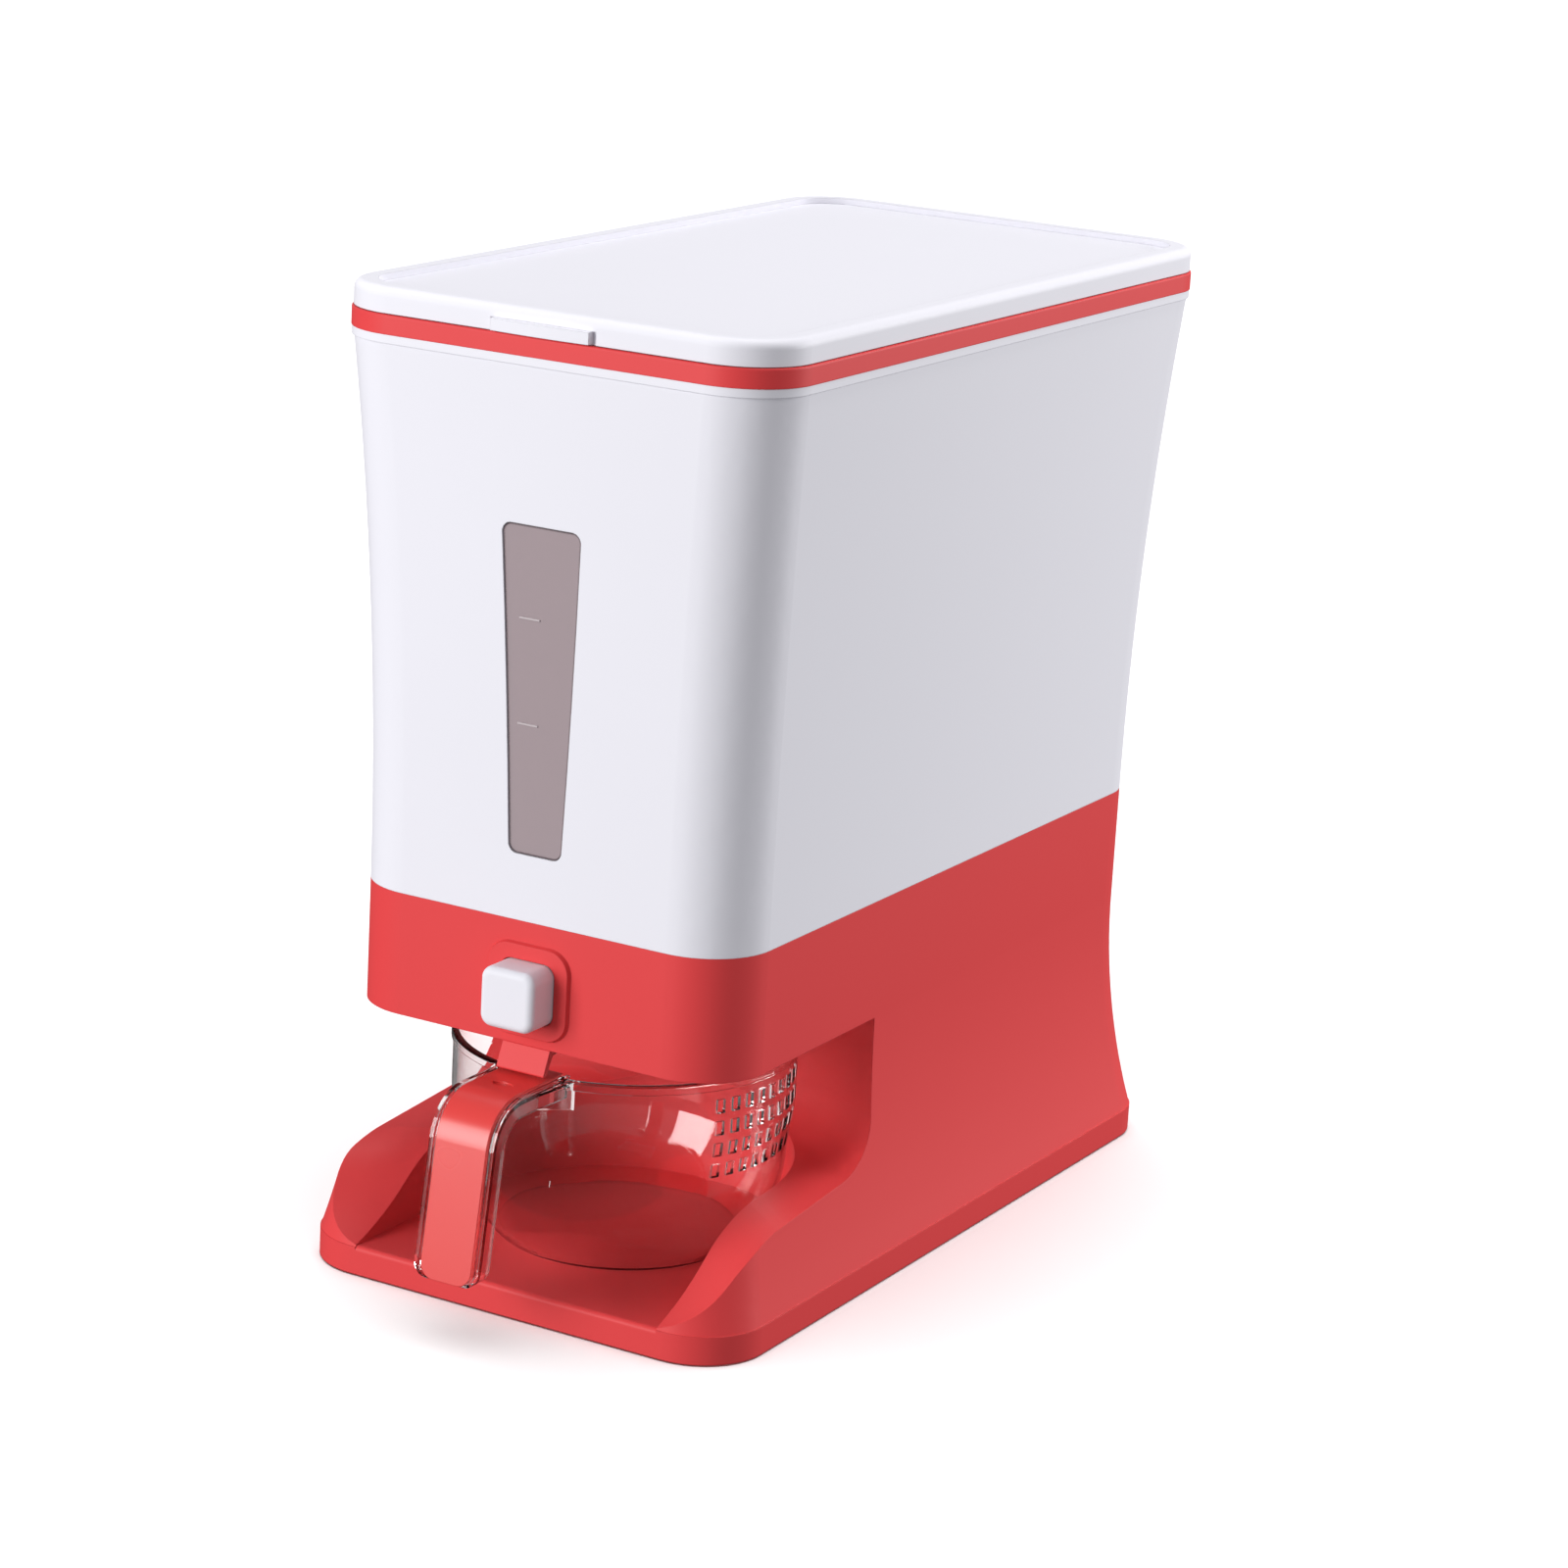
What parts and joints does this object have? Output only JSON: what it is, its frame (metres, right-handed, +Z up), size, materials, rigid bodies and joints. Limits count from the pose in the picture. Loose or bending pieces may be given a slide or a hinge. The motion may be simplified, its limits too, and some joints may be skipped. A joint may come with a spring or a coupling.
{
  "type": "rice dispenser",
  "caption": "Counter-top rice dispenser: tapered container with lid and level window on a base with a push-button shutter and a clear lift-out measuring cup.",
  "frame": {"origin": "on the ground under the middle of the whole outline, the cup's handle included", "axes": "+X to the right seen from the front, +Y to the back, +Z up; the button and the cup face -Y"},
  "size_m": [0.2, 0.411, 0.3921],
  "materials": {
    "red_moulding": "moulded, satin gloss",
    "white_moulding": "moulded, satin gloss",
    "grey_moulding": "moulded, matt",
    "clear_moulding": "clear plastic, polished",
    "smoke_clear": "smoke-tinted clear plastic, polished",
    "mark_white": "printed",
    "seal_rubber": "soft silicone, matt",
    "foot_rubber": "moulded rubber",
    "screw_steel": "zinc plated",
    "spring_steel": "drawn wire"
  },
  "bodies": {
    "base": {"base_housing": "red_moulding", "bottom_plate": "grey_moulding", "bottom_screws": "screw_steel", "foot_front_left": "foot_rubber", "foot_front_right": "foot_rubber", "foot_rear_left": "foot_rubber", "foot_rear_right": "foot_rubber", "outlet_chute": "white_moulding", "cup_tab": "red_moulding", "gate_track": "white_moulding", "gate_wiper": "seal_rubber", "track_screws": "screw_steel", "hopper": "white_moulding", "level_window": "smoke_clear", "level_marks": "mark_white", "hopper_funnel": "white_moulding", "collar_ring": "red_moulding"},
    "lid_body": {"lid": "white_moulding", "lid_seal": "seal_rubber"},
    "cup_body": {"cup": "clear_moulding", "handle_strip": "red_moulding"},
    "button_body": {"push_button": "white_moulding", "gate_slide": "white_moulding", "return_spring_left": "spring_steel", "return_spring_right": "spring_steel"}
  },
  "joints": [
    {"name": "lid_lift", "type": "slide", "parent": "base", "child": "lid_body", "axis": [0, 0, 1], "range_m": [0, 0.06]},
    {"name": "cup_pull", "type": "slide", "parent": "base", "child": "cup_body", "axis": [0, -1, 0], "range_m": [0, 0.17]},
    {"name": "button_press", "type": "slide", "parent": "base", "child": "button_body", "axis": [0, 1, 0], "range_m": [0, 0.015], "stiffness_N_per_m": 300, "deforming": ["return_spring_left", "return_spring_right"]}
  ]
}
